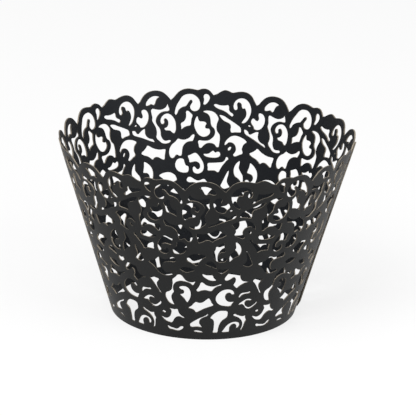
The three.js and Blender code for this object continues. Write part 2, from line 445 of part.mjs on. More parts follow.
// Builds the card as one closed body: outer face, inner face and every cut edge between them
function rolledCard(outline, holes) {
  const loops = [outline, ...holes];
  const points = loops.flat();
  const triangles = THREE.ShapeUtils.triangulateShape(outline, holes);
  const cutEdges = [];
  let first = 0;
  for (const loop of loops) {
    loop.forEach((_, i) => cutEdges.push([first + i, first + (i + 1) % loop.length]));
    first += loop.length;
  }
  const fixedEdges = new Set(cutEdges.map(([a, b]) => edgeKey(a, b)));
  bandGrid().forEach((point) => insertPoint(points, triangles, point));
  relaxTriangles(points, triangles, fixedEdges);

  const positions = [
    ...points.flatMap((p) => rollPoint(p, CARD / 2)),
    ...points.flatMap((p) => rollPoint(p, -CARD / 2)),
  ];
  const inner = points.length;
  const faces = [];
  for (const [a, b, c] of triangles) {
    faces.push(a, b, c);
    faces.push(inner + c, inner + b, inner + a);
  }
  for (const [a, b] of cutEdges) {
    faces.push(b, a, inner + a);
    faces.push(b, inner + a, inner + b);
  }
  const geometry = new THREE.BufferGeometry();
  geometry.setAttribute("position", new THREE.Float32BufferAttribute(positions, 3));
  geometry.setIndex(faces);
  return geometry;
}

// Moves the origin to the middle of the wrapper's outline as seen from above
function centred(geometry) {
  geometry.computeBoundingBox();
  const middle = geometry.boundingBox.getCenter(new THREE.Vector3());
  return geometry.translate(-middle.x, -middle.y, 0);
}

// The outline runs anticlockwise and the holes clockwise, so the card is on the left of every edge
function wound(loop, anticlockwise) {
  const isAnticlockwise = THREE.ShapeUtils.area(loop) > 0;
  return isAnticlockwise === anticlockwise ? loop : loop.reverse();
}

const card = new THREE.MeshStandardMaterial({ color: 0x26272a, roughness: 0.7, metalness: 0 });
const outline = wound(bandOutline(), true);
const holes = bandHoles().map((hole) => wound(hole, false));
const wrapper = new THREE.Mesh(centred(rolledCard(outline, holes)), card);
wrapper.name = "wrapper_card";

const model = new THREE.Group();
model.add(wrapper);

export default model;
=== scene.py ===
# Cupcake wrapper: a band of thin black card, laser-cut with scrollwork, rolled into an open cone.
# The card here takes the plain solid's place, on the same cone. Its pattern is cut more finely, with
# a few holes retouched and a few small ones added, and it has a slight unevenness of its own. The
# card is worked out in millimetres and degrees, and the camera, lamps and floor are in metres.
import math

import bpy
from mathutils import Euler, Matrix, Vector, geometry, kdtree


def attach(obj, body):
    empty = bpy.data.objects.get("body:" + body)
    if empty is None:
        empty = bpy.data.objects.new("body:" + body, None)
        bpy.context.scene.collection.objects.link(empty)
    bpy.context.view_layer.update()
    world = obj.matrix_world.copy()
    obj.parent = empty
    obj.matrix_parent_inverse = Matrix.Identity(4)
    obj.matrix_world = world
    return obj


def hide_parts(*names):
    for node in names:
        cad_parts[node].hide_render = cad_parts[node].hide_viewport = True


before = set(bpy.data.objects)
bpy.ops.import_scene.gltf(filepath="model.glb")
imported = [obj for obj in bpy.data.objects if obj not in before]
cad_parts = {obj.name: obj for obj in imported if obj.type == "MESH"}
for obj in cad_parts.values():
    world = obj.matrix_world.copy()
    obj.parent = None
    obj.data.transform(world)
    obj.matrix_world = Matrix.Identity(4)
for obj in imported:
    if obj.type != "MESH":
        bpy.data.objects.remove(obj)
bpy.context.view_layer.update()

# Metres in a millimetre
MM = 0.001

# The cone of the wall, and its axis in the part's frame, whose origin is under the middle of its box
TOP_RADIUS = 40.0
BOTTOM_RADIUS = 25.0
HEIGHT = 49.3
CARD = 0.35
AXIS = Vector((-0.379, 0.007, 0))

# The lap: the free end lies over the tucked end and settles on to the cone over LAP_EASE beyond it.
# Towards the base it also springs open, less and less over SPRING_REACH. Angles are in degrees.
LAP = 6.8
LAP_GAP = 0.05
LAP_EASE = 25.0
FREE_END_ANGLE = -7.0
FREE_END_SPRING = 0.42
SPRING_REACH = 16.0

# The two ends of the band, in degrees: the plain card beside each, and the free end's clipped lower
# corner, whose rise is in the units of the flat pattern
FREE_END_MARGIN = 2.5
TUCKED_END_BAND = 14.0
FREE_CORNER_RISE = 2.2
FREE_CORNER_RUN = 3.6

# One repeat of the pattern is drawn flat, x along the band and y up the wall, in units that are
# close to millimetres at the rim. PATTERN_START is where the free end cuts through the pattern.
REPEATS = 7
CELL = 36.0
CELL_HEIGHT = 51.55
PATTERN_START = 8.15
BAND_END = PATTERN_START + REPEATS * CELL
DEGREES_PER_UNIT = (360.0 + LAP) / (REPEATS * CELL)

# Unevenness of the rolled card, as sums of waves round the cone: size, number of waves and phase in
# degrees. The turns are in degrees, one at the base and one at the rim, and blend up the wall. The
# rest is in millimetres and grows from nothing at the base: how far the wall stands out, and how far
# it sags. From RIM_FROM of its height the wall takes on the rim's own sag.
BASE_TURN = [(2.94, 1, 110), (0.78, 2, 156), (1.45, 3, 102)]
RIM_TURN = [(-0.56, 0, 90), (0.75, 1, 126), (0.66, 2, -47), (0.62, 3, -157)]
BULGE = [(-0.35, 0, 90), (0.6, 2, -160), (0.16, 3, 34), (0.4, 4, 35), (0.1, 7, 120), (0.04, 19, 0)]
SAG = [(0.42, 0, 90), (0.21, 1, -52), (0.3, 2, 75), (0.24, 3, -116), (0.14, 4, -93)]
RIM_SAG = [(0.2, 0, 90), (0.24, 1, -90), (0.21, 2, 79), (0.23, 3, -174), (0.15, 4, -83)]
RIM_FROM = 0.9

# Fineness of the mesh: counts, and lengths in the units of the flat pattern
STEPS_PER_POINT = 3
RIM_STEP = 0.8
GRID = 1.25
GRID_CLEARANCE = 0.4
END_CLEARANCE = 0.01
FEWEST_HOLE_POINTS = 5
MERGE_DISTANCE = 1e-5

# What the triangulation gives back: only what lies inside the loops
INSIDE_LOOPS = 1

# Material slots of the card
OUTSIDE = 0
INSIDE = 1
CUT_EDGE = 2

# Colours of the coated card, from the dark to the light of its mottling, and of the bare cut edge
OUTSIDE_DARK = (0.0065, 0.0066, 0.0064)
OUTSIDE_LIGHT = (0.0155, 0.0162, 0.0166)
# The inside face's colours are the card's own black made darker than the outside's: painted shade of
# the cone's inside
INSIDE_DARK_WITH_SHADE = (0.0035, 0.0043, 0.0058)
INSIDE_LIGHT_WITH_SHADE = (0.0085, 0.0100, 0.0125)
EDGE_SCORCHED = (0.075, 0.065, 0.051)
EDGE_BARE = (0.27, 0.233, 0.182)

# Finish of the card. Scales are noise cells in a metre, and the fibre's depth is in metres.
CARD_ROUGHNESS = 0.5
CARD_SPECULAR = 0.16
MOTTLE_SCALE = 90
MOTTLE_DETAIL = 3
FIBRE_SCALE = 1400
FIBRE_DETAIL = 4
FIBRE_STRENGTH = 0.25
FIBRE_DEPTH = 0.00004
EDGE_ROUGHNESS = 0.85
SCORCH_SCALE = 260
SCORCH_FROM = 0.35
SCORCH_TO = 0.7

WHITE = (1, 1, 1, 1)

# Sockets of a colour mix node, by number because their names are shared with its other kinds
MIX_FACTOR = 0
MIX_FIRST = 6
MIX_SECOND = 7
MIX_RESULT = 2

# The photograph's camera, fitted to the rims and the silhouettes. It looks at AIM_PIXEL of the
# picture, where the cone's axis is AIM_HEIGHT above the floor.
CAMERA_DISTANCE = 0.842101
CAMERA_ELEVATION = 20.012
CAMERA_ROLL = 1.0626
PICTURE = 416
FOCAL_PIXELS = 3109.96
AIM_PIXEL = (204.738, 218.856)
AIM_HEIGHT = 0.025
SENSOR_WIDTH = 36

# Soft square lamps: name, place, width and power in watts
LAMPS = [
    ("key", (-0.35, -0.45, 0.75), 0.5, 6),
    ("fill", (0.5, -0.35, 0.4), 0.5, 2.5),
]
WORLD_STRENGTH = 0.55

# The floor, and how much of its own shading the camera doesn't see
FLOOR_HALF_WIDTH = 3.0
FLOOR_COLOUR = (0.85, 0.85, 0.85)
FLOOR_ROUGHNESS = 0.9
FLOOR_SPECULAR = 0.1
FLOOR_WHITE = 0.75

# The top edge of one repeat: three waves, each from one notch to the next
TOP_WAVES = [
    [[0.9, 49.9], [1.5, 50.6], [2.3, 51.25], [3.3, 51.55], [4.4, 51.45], [5.4, 51.15], [6.8, 51.4],
     [8.15, 51.55], [9.6, 51.35], [10.8, 50.8], [11.8, 49.95], [12.7, 49.05], [13.4, 48.55]],
    [[13.4, 48.55], [13.9, 49.2], [14.7, 50.1], [15.8, 50.95], [17.2, 51.45], [18.9, 51.55],
     [20.4, 51.25], [21.6, 50.6], [22.6, 49.6], [23.3, 48.8], [23.9, 48.5]],
    [[23.9, 48.5], [24.6, 49.4], [25.5, 50.6], [26.8, 51.35], [28.3, 51.55], [29.9, 51.3],
     [31.4, 50.95], [32.5, 51.3], [33.6, 51.45], [34.7, 51.0], [35.8, 50.3], [36.9, 49.9]],
]

# The large holes of one repeat, each a smooth closed curve through these points
HOLES = {
    "leaf_slit": [
        [2.3, 49.9], [2.9, 50.15], [3.5, 50.0], [3.75, 49.4], [3.6, 48.6], [3.75, 47.8],
        [3.85, 47.35], [3.4, 47.2], [2.8, 47.6], [2.2, 48.4], [1.95, 49.2]],
    "cane": [
        [12.1, 44.3], [12.45, 44.7], [12.2, 46.0], [11.6, 47.3], [10.8, 48.4], [10.2, 49.2],
        [9.3, 49.8], [8.2, 50.05], [7.0, 50.0], [6.0, 49.5], [5.2, 48.7], [4.8, 47.6], [4.85, 46.5],
        [5.3, 45.7], [6.1, 45.3], [7.0, 45.35], [7.6, 45.9], [7.75, 46.6], [7.4, 47.3], [7.05, 47.8],
        [7.1, 48.25], [7.5, 48.4], [8.0, 48.0], [8.5, 47.3], [9.0, 46.7], [9.9, 46.45], [10.6, 46.1],
        [11.3, 45.5], [11.7, 44.7]],
    "left_frame": [
        [3.9, 45.3], [3.0, 45.6], [1.8, 45.6], [0.7, 45.3], [-0.2, 44.6], [-0.75, 43.5],
        [-0.3, 42.2], [-0.15, 41.0], [-0.4, 40.0], [-1.15, 39.1], [-1.3, 38.0], [-1.15, 36.6],
        [-0.9, 35.5], [-0.3, 35.5], [0.4, 36.2], [1.5, 36.5], [2.8, 36.35], [3.8, 35.7], [4.6, 35.0],
        [5.1, 35.1], [5.3, 35.9], [5.5, 36.8], [5.2, 37.15], [4.3, 37.1], [3.2, 37.1], [2.1, 37.3],
        [1.2, 37.9], [0.5, 38.6], [0.2, 39.6], [0.5, 40.6], [1.2, 41.2], [1.55, 41.9], [1.65, 42.9],
        [1.95, 44.0], [2.6, 44.7], [3.4, 45.0]],
    "bean": [
        [5.7, 43.9], [6.2, 43.2], [6.55, 42.2], [6.6, 41.2], [6.2, 40.0], [5.5, 38.9], [4.6, 38.3],
        [3.6, 38.15], [2.6, 38.5], [1.95, 39.1], [1.8, 39.9], [2.1, 40.5], [2.8, 40.55], [3.3, 40.8],
        [3.2, 41.4], [2.9, 41.9], [3.3, 42.35], [4.1, 42.5], [4.9, 42.5], [5.3, 42.9]],
    "kite": [
        [8.5, 45.4], [9.0, 45.2], [9.0, 44.2], [9.2, 43.2], [9.8, 42.4], [10.7, 41.9], [10.6, 40.9],
        [10.6, 40.2], [9.8, 40.7], [8.7, 41.1], [7.8, 41.3], [7.6, 42.0], [7.45, 43.0], [7.1, 44.1],
        [7.6, 44.7]],
    "spiral": [
        [12.9, 39.2], [12.4, 40.0], [12.3, 41.2], [12.4, 42.4], [12.9, 43.5], [13.7, 44.4],
        [14.7, 44.85], [15.7, 44.7], [16.6, 44.1], [17.1, 43.2], [17.05, 42.5], [16.7, 42.05],
        [16.2, 42.05], [15.85, 42.5], [16.0, 43.05], [15.7, 43.5], [15.2, 43.45], [14.75, 42.9],
        [14.65, 42.1], [14.9, 41.4], [15.4, 41.0], [16.0, 40.8], [15.7, 40.25], [14.9, 40.1],
        [14.1, 39.95], [13.5, 39.4]],
    "centre_frame": [
        [14.6, 47.5], [14.9, 46.9], [15.6, 46.4], [16.6, 46.1], [17.6, 46.15], [18.6, 46.4],
        [19.4, 46.6], [19.85, 46.2], [19.8, 45.2], [19.65, 44.2], [19.8, 43.3], [19.3, 42.3],
        [18.8, 41.3], [18.6, 40.2], [18.7, 39.3], [18.9, 38.7], [18.6, 38.0], [17.9, 37.4],
        [17.2, 36.8], [16.3, 36.5], [15.4, 36.5], [14.6, 36.7], [14.2, 37.1], [14.5, 37.4],
        [15.8, 37.3], [16.5, 37.5], [17.0, 38.1], [17.3, 39.0], [17.3, 40.0], [17.5, 40.8],
        [18.2, 41.8], [18.6, 42.8], [18.3, 43.9], [17.6, 44.7], [16.6, 45.3], [15.5, 45.5],
        [14.5, 45.5], [14.05, 45.8], [14.3, 46.7]],
    "top_comma": [
        [17.0, 49.65], [17.8, 50.0], [18.8, 50.05], [19.9, 49.7], [20.7, 49.1], [21.3, 48.3],
        [21.25, 47.6], [20.4, 47.65], [19.6, 47.9], [18.8, 47.55], [18.4, 47.9], [18.1, 48.6],
        [17.7, 49.2]],
    "clasp": [
        [22.4, 46.7], [22.95, 46.5], [23.05, 45.9], [22.8, 45.0], [23.1, 44.4], [23.7, 44.5],
        [24.3, 44.9], [24.8, 44.8], [25.2, 43.8], [24.9, 43.2], [24.3, 42.6], [24.0, 42.0],
        [23.4, 41.8], [22.6, 41.9], [21.7, 42.5], [21.1, 43.4], [20.8, 44.5], [20.9, 45.5],
        [21.5, 46.4]],
    "barb": [
        [22.5, 41.3], [23.2, 41.2], [24.2, 40.7], [25.0, 40.25], [25.5, 40.35], [25.8, 40.9],
        [26.4, 41.3], [27.1, 41.35], [27.1, 40.7], [26.7, 40.1], [25.6, 39.6], [24.0, 39.0],
        [22.4, 38.3], [21.0, 37.7], [19.6, 37.25], [20.2, 38.1], [21.2, 38.4], [22.0, 38.9],
        [22.5, 39.8], [22.5, 40.6]],
    "horn": [
        [28.1, 43.1], [27.3, 43.2], [26.5, 43.9], [25.9, 44.9], [25.5, 46.0], [25.4, 47.2],
        [25.8, 48.4], [26.6, 49.3], [27.7, 49.8], [28.9, 49.75], [30.0, 49.2], [30.7, 48.3],
        [30.9, 47.3], [30.6, 46.6], [30.1, 46.5], [29.7, 46.9], [29.7, 47.5], [29.85, 48.1],
        [29.6, 48.6], [29.0, 48.6], [28.5, 48.2], [28.35, 47.5], [28.0, 47.15], [27.55, 47.3],
        [27.15, 46.9], [26.85, 46.0], [26.95, 45.0], [27.5, 44.1]],
    "under_leaf": [
        [32.5, 47.6], [33.2, 47.45], [34.2, 47.35], [35.2, 47.4], [36.2, 47.6], [36.75, 47.3],
        [36.2, 46.7], [35.3, 46.3], [34.0, 45.95], [32.8, 45.45], [31.8, 44.8], [31.2, 44.55],
        [30.8, 45.0], [31.1, 45.45], [31.8, 45.8], [32.2, 46.4], [32.2, 47.1]],
    "blade": [
        [35.0, 44.6], [33.6, 44.45], [32.2, 43.75], [30.6, 43.0], [29.2, 42.3], [28.4, 41.8],
        [28.15, 41.1], [28.2, 40.45], [28.9, 40.3], [30.0, 40.2], [31.2, 40.0], [31.5, 40.7],
        [31.4, 41.5], [31.6, 42.2], [32.2, 42.6], [33.3, 42.95], [34.2, 43.5]],
    "right_curl": [
        [26.0, 38.0], [26.8, 38.6], [28.2, 39.1], [29.8, 39.3], [31.2, 38.9], [32.2, 38.1],
        [33.0, 37.0], [33.1, 36.25], [32.5, 36.6], [31.9, 37.1], [31.1, 37.2], [30.2, 36.9],
        [29.6, 36.2], [29.4, 35.4], [29.6, 34.6], [30.2, 33.8], [29.9, 33.4], [29.2, 33.5],
        [28.2, 34.0], [27.3, 34.4], [27.1, 34.9], [27.4, 35.6], [27.3, 36.4], [26.9, 37.2]],
    "wing": [
        [22.3, 36.6], [22.8, 36.1], [23.6, 35.5], [24.8, 34.75], [23.8, 34.0], [22.6, 33.6],
        [21.6, 33.0], [20.8, 32.45], [20.3, 32.8], [19.6, 33.0], [18.8, 32.9], [18.0, 32.5],
        [17.2, 32.1], [16.7, 32.1], [16.5, 33.1], [16.2, 34.2], [16.15, 34.9], [16.9, 35.0],
        [18.2, 35.0], [19.5, 35.3], [20.8, 35.8]],
    "tall_wave": [
        [6.8, 38.8], [7.4, 38.6], [7.9, 38.1], [8.7, 37.6], [9.8, 37.3], [10.9, 37.4],
        [11.8, 37.65], [12.2, 37.4], [12.8, 36.8], [13.8, 36.2], [14.6, 35.3], [15.0, 34.2],
        [14.9, 33.2], [14.5, 32.5], [13.9, 32.25], [13.3, 32.5], [12.7, 33.1], [12.2, 33.1],
        [11.6, 32.8], [11.0, 32.85], [10.75, 33.5], [10.6, 34.5], [10.3, 35.4], [9.7, 36.1],
        [8.9, 36.6], [8.0, 36.8], [7.2, 36.9], [6.9, 37.5], [6.6, 38.3]],
    "moustache": [
        [-1.6, 33.6], [-1.2, 34.2], [-0.6, 34.2], [0.0, 33.95], [0.7, 34.4], [1.3, 34.1],
        [2.0, 33.6], [2.9, 33.4], [3.8, 33.35], [3.4, 32.8], [2.4, 32.5], [1.0, 32.4], [-0.4, 32.5],
        [-1.3, 32.9]],
    "pennant": [
        [-4.3, 32.5], [-3.8, 33.0], [-3.45, 32.7], [-3.2, 32.1], [-2.7, 31.6], [-2.0, 31.35],
        [-1.0, 31.2], [0.2, 31.05], [1.5, 30.95], [2.35, 30.8], [2.5, 30.2], [2.35, 29.5],
        [2.4, 28.8], [1.2, 28.8], [0.1, 28.8], [-0.6, 28.5], [-1.1, 28.4], [-1.5, 29.0], [-2.1, 30.0],
        [-2.9, 31.0], [-3.6, 31.8]],
    "arch": [
        [24.2, 32.2], [23.4, 31.9], [22.3, 31.1], [21.5, 30.1], [21.2, 28.9], [21.4, 27.6],
        [22.0, 26.5], [23.1, 25.9], [24.3, 25.8], [25.2, 26.1], [25.5, 26.8], [25.1, 27.3],
        [24.4, 27.3], [23.8, 26.9], [23.2, 27.0], [22.8, 27.5], [22.8, 28.3], [23.3, 28.9],
        [24.1, 29.1], [24.95, 29.3], [24.8, 30.0], [24.5, 30.8], [24.35, 31.6]],
    "arch_foot": [
        [27.8, 32.3], [28.6, 31.8], [29.3, 30.9], [29.7, 29.8], [29.6, 28.6], [29.1, 27.8],
        [28.3, 27.4], [27.6, 27.0], [27.0, 26.4], [26.5, 25.95], [26.25, 26.6], [26.3, 27.6],
        [26.5, 28.4], [27.0, 29.0], [27.6, 29.7], [28.0, 30.5], [27.85, 31.4]],
    "funnel": [
        [31.4, 29.2], [31.9, 28.6], [32.5, 27.5], [33.0, 26.5], [33.6, 25.4], [33.95, 24.6],
        [33.4, 24.1], [32.6, 23.9], [31.6, 24.2], [30.8, 24.6], [31.4, 25.3], [31.8, 26.0],
        [31.8, 26.9], [31.5, 27.8]],
    "scroll": [
        [6.4, 33.6], [5.7, 33.2], [4.8, 32.2], [4.0, 31.0], [3.7, 29.8], [4.0, 28.6], [4.9, 27.9],
        [5.9, 27.7], [6.9, 28.0], [7.35, 28.8], [7.2, 29.6], [6.7, 29.7], [6.0, 29.05], [5.3, 29.1],
        [4.9, 29.7], [5.0, 30.4], [5.6, 30.95], [6.5, 31.15], [7.4, 31.0], [8.3, 30.9], [8.5, 31.8],
        [8.85, 32.7], [7.9, 33.1], [7.0, 33.5]],
    "drum": [
        [10.3, 31.8], [11.3, 32.1], [12.3, 31.9], [13.0, 31.1], [13.2, 30.2], [12.9, 29.3],
        [12.1, 28.5], [11.0, 28.1], [9.9, 28.0], [9.0, 28.2], [8.7, 28.9], [8.85, 29.8], [9.6, 30.1],
        [10.0, 30.8]],
    "sail": [
        [13.6, 27.6], [15.2, 28.4], [17.5, 28.4], [19.1, 27.8], [17.8, 26.8], [16.8, 25.6],
        [16.2, 24.6], [15.2, 24.95], [14.1, 25.6], [12.9, 26.1], [13.1, 26.9]],
    "ribbon": [
        [-0.2, 24.2], [0.9, 23.5], [1.9, 22.6], [2.9, 21.4], [4.4, 20.7], [6.2, 20.6], [7.9, 21.2],
        [6.9, 21.7], [5.6, 21.6], [4.8, 22.4], [4.5, 23.5], [4.9, 24.5], [5.9, 25.0],
        [7.4, 25.3], [8.8, 25.3], [9.5, 25.9], [9.2, 26.6], [8.3, 26.85], [7.1, 26.3], [6.2, 25.9],
        [5.2, 25.85], [4.3, 26.2], [3.5, 26.3], [2.8, 25.7], [1.8, 25.0], [0.6, 24.8]],
    "brow": [
        [10.5, 23.2], [11.4, 22.6], [12.5, 22.2], [13.8, 22.4], [15.4, 23.1], [14.4, 23.7],
        [13.0, 24.0], [11.4, 23.8]],
    "fin": [
        [17.9, 21.9], [19.3, 21.6], [20.3, 21.6], [21.3, 21.5], [21.6, 20.8], [22.5, 19.85],
        [21.5, 19.7], [20.3, 19.9], [19.1, 20.5], [18.3, 21.1]],
    "small_funnel": [
        [-0.8, 18.9], [-0.4, 19.4], [0.4, 19.6], [1.3, 19.4], [2.7, 19.0], [2.2, 18.3],
        [1.7, 17.7], [1.65, 17.0], [2.0, 16.0], [2.6, 15.1], [3.1, 14.4], [2.5, 14.6], [1.9, 15.5],
        [1.3, 16.3], [0.6, 17.3], [-0.1, 18.2]],
    "bridge": [
        [15.5, 19.3], [14.7, 19.1], [13.7, 19.1], [12.9, 19.3], [12.2, 19.7], [11.6, 20.4],
        [11.0, 21.1], [10.3, 21.35], [9.6, 21.2], [8.9, 20.5], [8.1, 19.9], [7.6, 19.4], [7.6, 18.4],
        [7.3, 17.0], [7.0, 16.1], [6.2, 15.5], [5.2, 15.1], [4.6, 14.5], [4.5, 13.6], [4.8, 12.7],
        [5.6, 11.7], [6.7, 11.2], [7.5, 11.2], [7.2, 11.9], [6.8, 12.8], [6.7, 13.8], [7.1, 14.7],
        [7.8, 15.5], [7.6, 16.3], [7.7, 17.3], [8.1, 18.1], [9.0, 18.8], [10.3, 19.2], [11.5, 19.2],
        [12.7, 19.0], [13.7, 18.7], [14.7, 18.1], [15.2, 18.7]],
    "comma": [
        [9.8, 17.0], [10.3, 17.4], [11.2, 17.6], [12.4, 17.5], [13.3, 16.9], [13.8, 15.8],
        [13.8, 14.7], [13.4, 13.5], [12.8, 12.6], [12.4, 12.25], [12.0, 12.7], [11.5, 13.4],
        [10.7, 14.1], [10.0, 14.75], [10.8, 15.0], [11.4, 15.3], [11.5, 15.9], [11.1, 16.3],
        [10.4, 16.45]],
    "tooth": [
        [17.8, 19.2], [18.3, 19.0], [19.1, 18.4], [20.3, 18.0], [21.7, 17.9], [22.9, 18.2],
        [24.3, 18.6], [24.3, 18.2], [23.5, 18.0], [22.5, 17.6], [21.7, 16.9], [21.1, 16.3],
        [20.3, 16.35], [18.9, 16.6], [17.5, 16.4], [16.4, 16.05], [15.9, 16.5], [16.6, 17.4],
        [17.1, 18.3], [17.4, 19.0]],
    "anvil": [
        [26.6, 22.1], [27.4, 22.2], [28.4, 22.0], [29.6, 21.85], [30.3, 21.6], [30.5, 20.8],
        [30.8, 20.0], [31.5, 19.3], [32.7, 19.0], [33.7, 18.7], [32.5, 18.6], [31.5, 18.2],
        [30.5, 17.6], [29.8, 17.05], [29.3, 17.4], [28.5, 18.3], [28.9, 19.0], [29.1, 19.8],
        [28.8, 20.6], [28.2, 20.7], [27.6, 20.3], [26.9, 19.9], [26.1, 19.7], [25.5, 19.9],
        [25.4, 20.6], [25.9, 21.4]],
    "ring": [
        [29.15, 15.1], [28.7, 16.0], [27.8, 16.6], [26.2, 16.8], [24.7, 16.4], [23.5, 15.5],
        [22.8, 14.4], [22.8, 13.3], [23.5, 12.2], [24.7, 11.5], [26.2, 11.2], [27.6, 11.05],
        [28.4, 11.2], [28.8, 11.8], [29.3, 12.5], [28.2, 12.5], [27.2, 12.7], [26.3, 13.4],
        [26.0, 14.3], [26.3, 15.2], [27.0, 15.6], [27.8, 15.5], [28.4, 15.0]],
    "splint": [
        [30.9, 13.8], [31.1, 14.6], [31.7, 15.2], [32.7, 15.3], [34.0, 15.35], [34.7, 15.5],
        [35.0, 15.2], [34.6, 14.9], [33.7, 14.85], [32.7, 14.75], [31.9, 14.4], [31.3, 13.8]],
    "loop": [
        [-4.9, 11.4], [-4.3, 11.9], [-3.3, 12.5], [-2.3, 12.95], [-1.3, 13.0], [-0.4, 12.75],
        [0.0, 12.4], [-0.6, 12.35], [-1.4, 12.5], [-2.1, 12.4], [-2.5, 11.9], [-2.4, 11.2],
        [-1.8, 10.5], [-1.0, 10.15], [-0.2, 10.15], [0.7, 10.5], [1.6, 11.1], [2.3, 11.7],
        [2.4, 11.1], [1.6, 10.4], [0.6, 9.8], [-0.3, 9.55], [-1.2, 9.7], [-2.0, 10.2], [-2.7, 11.0],
        [-3.4, 11.4], [-4.2, 11.3]],
    "butterfly": [
        [20.2, 13.9], [20.7, 13.5], [21.3, 12.4], [22.0, 11.6], [20.5, 11.0], [18.9, 10.5],
        [17.3, 9.8], [16.0, 9.2], [15.5, 9.2], [15.0, 9.8], [14.1, 10.2], [12.8, 10.5], [14.1, 11.3],
        [15.0, 12.2], [15.7, 12.6], [16.6, 12.4], [17.5, 12.4], [18.4, 12.7], [19.2, 13.3]],
    "low_wave": [
        [5.5, 9.8], [6.3, 9.7], [7.5, 9.6], [8.6, 9.75], [8.8, 9.2], [9.1, 8.5], [9.9, 7.7],
        [11.3, 7.0], [10.3, 6.95], [9.2, 7.3], [8.0, 7.1], [7.1, 6.5], [6.4, 5.6], [5.8, 5.0],
        [4.9, 5.0], [3.5, 5.3], [2.3, 6.0], [1.5, 6.8], [2.3, 6.6], [3.3, 6.3], [4.5, 6.5],
        [5.4, 7.1], [5.9, 8.0], [6.1, 8.9]],
    "bird": [
        [-6.2, 8.2], [-5.6, 8.3], [-5.0, 8.0], [-3.9, 7.6], [-2.8, 7.3], [-2.0, 7.3], [-1.3, 7.45],
        [-1.3, 6.8], [-1.05, 6.2], [-0.75, 5.8], [-1.1, 5.1], [-1.3, 4.3], [-1.6, 3.3], [-2.0, 2.6],
        [-2.6, 2.5], [-2.3, 3.2], [-2.05, 4.3], [-2.3, 5.3], [-2.9, 6.1], [-3.8, 6.8], [-4.9, 7.3],
        [-5.9, 7.7]],
    "smile": [
        [3.8, 3.6], [4.2, 3.8], [5.1, 3.5], [6.3, 3.3], [7.5, 3.1], [8.3, 3.3], [9.0, 3.8],
        [9.7, 4.1], [10.4, 4.0], [10.2, 3.4], [9.4, 2.9], [8.4, 2.5], [7.1, 2.5], [5.7, 2.7],
        [4.5, 2.8]],
    "sprig": [
        [20.2, 8.7], [19.4, 8.2], [18.3, 7.7], [16.9, 7.2], [15.3, 6.4], [13.7, 5.5], [13.2, 5.0],
        [13.3, 4.3], [14.0, 4.1], [14.9, 4.2], [16.1, 4.3], [17.1, 4.2], [17.9, 4.2], [17.3, 4.8],
        [16.8, 5.5], [16.9, 6.4], [17.7, 7.1], [18.9, 7.6], [19.9, 8.0]],
    "goblet": [
        [25.7, 9.65], [26.9, 9.5], [27.5, 9.1], [27.6, 8.4], [27.5, 7.6], [26.9, 7.0],
        [26.0, 6.5], [25.1, 5.6], [24.6, 4.6], [24.3, 3.4], [24.15, 2.35], [23.2, 2.3], [22.3, 2.35],
        [22.5, 3.2], [22.6, 4.6], [22.6, 5.6], [22.4, 6.4], [21.8, 6.9], [21.1, 7.25], [21.9, 8.3],
        [23.0, 9.1], [24.2, 9.6]],
    "low_arch": [
        [25.95, 2.4], [26.6, 3.3], [27.5, 4.4], [28.7, 5.2], [30.1, 5.6], [31.5, 5.5],
        [32.5, 5.0], [32.8, 4.2], [32.3, 3.5], [31.6, 3.5], [31.6, 4.2], [31.1, 4.8], [30.3, 4.9],
        [29.5, 4.6], [28.9, 3.9], [28.85, 3.0], [28.9, 2.4], [28.1, 2.3], [26.9, 2.3]],
}

# The small holes of one repeat, which the plain solid leaves out
SMALL_HOLES = {
    "dot": [[25.15, 42.6], [25.6, 42.85], [26.0, 42.6], [25.6, 42.35]],
    "curl_eye": [[30.95, 35.95], [31.5, 35.9], [32.05, 35.2], [31.9, 34.85], [31.35, 35.05]],
    "low_eye": [[2.4, 8.4], [3.0, 8.72], [3.8, 8.45], [3.8, 8.15], [3.1, 7.98]],
    "slit": [[14.5, 2.7], [15.3, 3.02], [16.5, 3.0], [17.7, 2.75], [18.4, 2.4], [17.3, 2.38],
        [15.9, 2.45]],
    "crescent": [[22.9, 22.9], [23.4, 22.3], [24.4, 22.1], [25.2, 22.6], [26.3, 23.5], [25.3, 23.6],
        [24.3, 23.4], [23.4, 23.7]],
    "lens": [[18.9, 25.2], [19.8, 24.7], [21.0, 24.3], [22.4, 23.8], [22.0, 25.1], [21.0, 26.0],
        [19.8, 26.1]],
}


def units_for(degrees):
    """The length on the flat band of an angle round the cone."""
    return degrees / DEGREES_PER_UNIT


def slope(before, here, after, step_in, step_out):
    """The direction of a smooth curve at a point, from its neighbours and the steps to them."""
    chord_in = (here - before) / step_in
    chord_out = (after - here) / step_out
    return chord_in - (after - before) / (step_in + step_out) + chord_out


def smooth_path(points, closed):
    """Points along a smooth curve through the given ones.

    Its steps go by the square root of each distance, so that it doesn't loop where points are close.
    """
    given = [Vector(p) for p in points]
    if closed:
        ring = [given[-1], *given, given[0], given[1]]
    else:
        ring = [2 * given[0] - given[1], *given, 2 * given[-1] - given[-2]]
    path = []
    for before, start, end, after in zip(ring, ring[1:], ring[2:], ring[3:]):
        first = math.sqrt((start - before).length)
        middle = math.sqrt((end - start).length)
        last = math.sqrt((after - end).length)
        leave = slope(before, start, end, first, middle) * middle
        arrive = slope(start, end, after, middle, last) * middle
        bend = 2 * start - 2 * end + leave + arrive
        swing = 3 * end - 3 * start - 2 * leave - arrive
        for step in range(STEPS_PER_POINT):
            t = step / STEPS_PER_POINT
            path.append(((bend * t + swing) * t + leave) * t + start)
    return path if closed else [*path, given[-1]]


